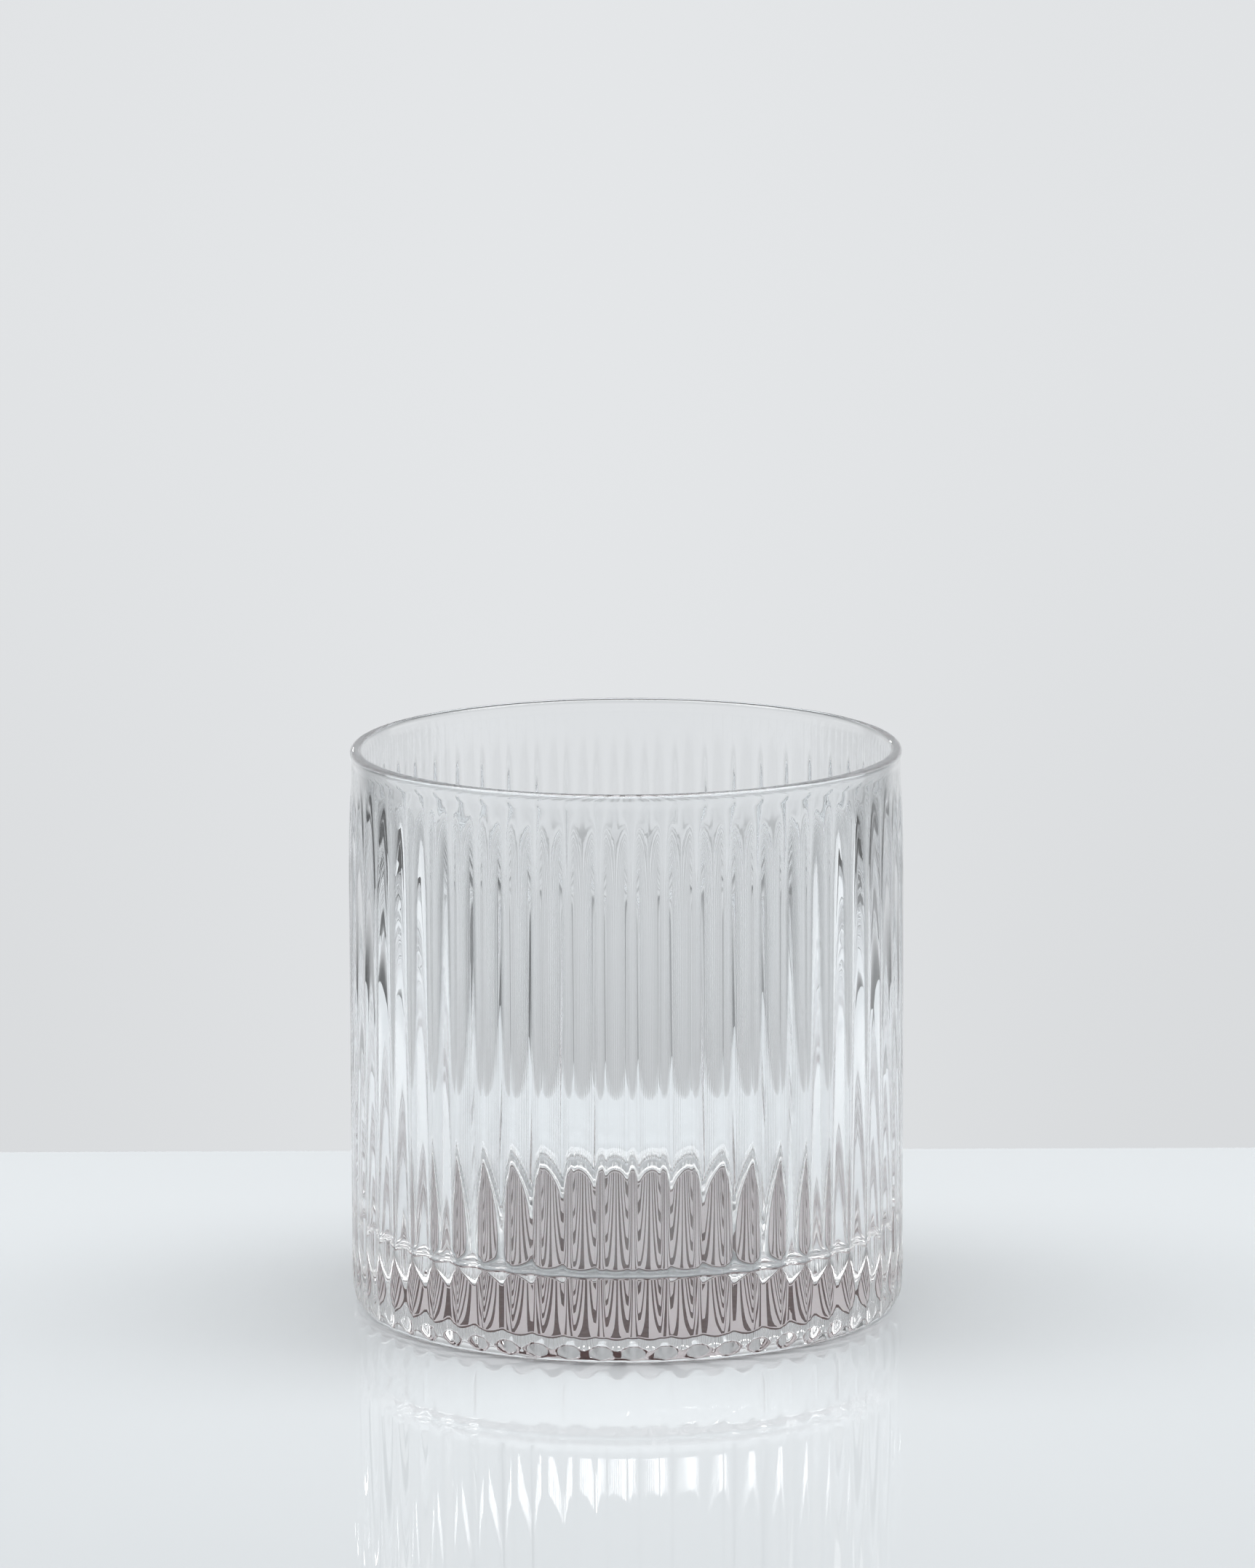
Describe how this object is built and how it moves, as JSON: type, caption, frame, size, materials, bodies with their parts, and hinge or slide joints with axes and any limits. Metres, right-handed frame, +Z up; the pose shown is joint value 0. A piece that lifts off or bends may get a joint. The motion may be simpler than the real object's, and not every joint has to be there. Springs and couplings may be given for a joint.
{
  "type": "juice glass",
  "caption": "Short clear drinking glass with upright rounded ribs that fade under a smooth lip, a thick solid base and a round label under the base.",
  "frame": {"origin": "centre of the foot ring, on the table", "axes": "+Z up along the glass's axis; -Y faces the camera of the picture"},
  "size_m": [0.08, 0.08, 0.082],
  "materials": {
    "clear_glass": "clear, fire polished",
    "printed_label": "satin printed film"
  },
  "bodies": {
    "root": {"tumbler": "clear_glass", "base_label": "printed_label"}
  },
  "joints": []
}
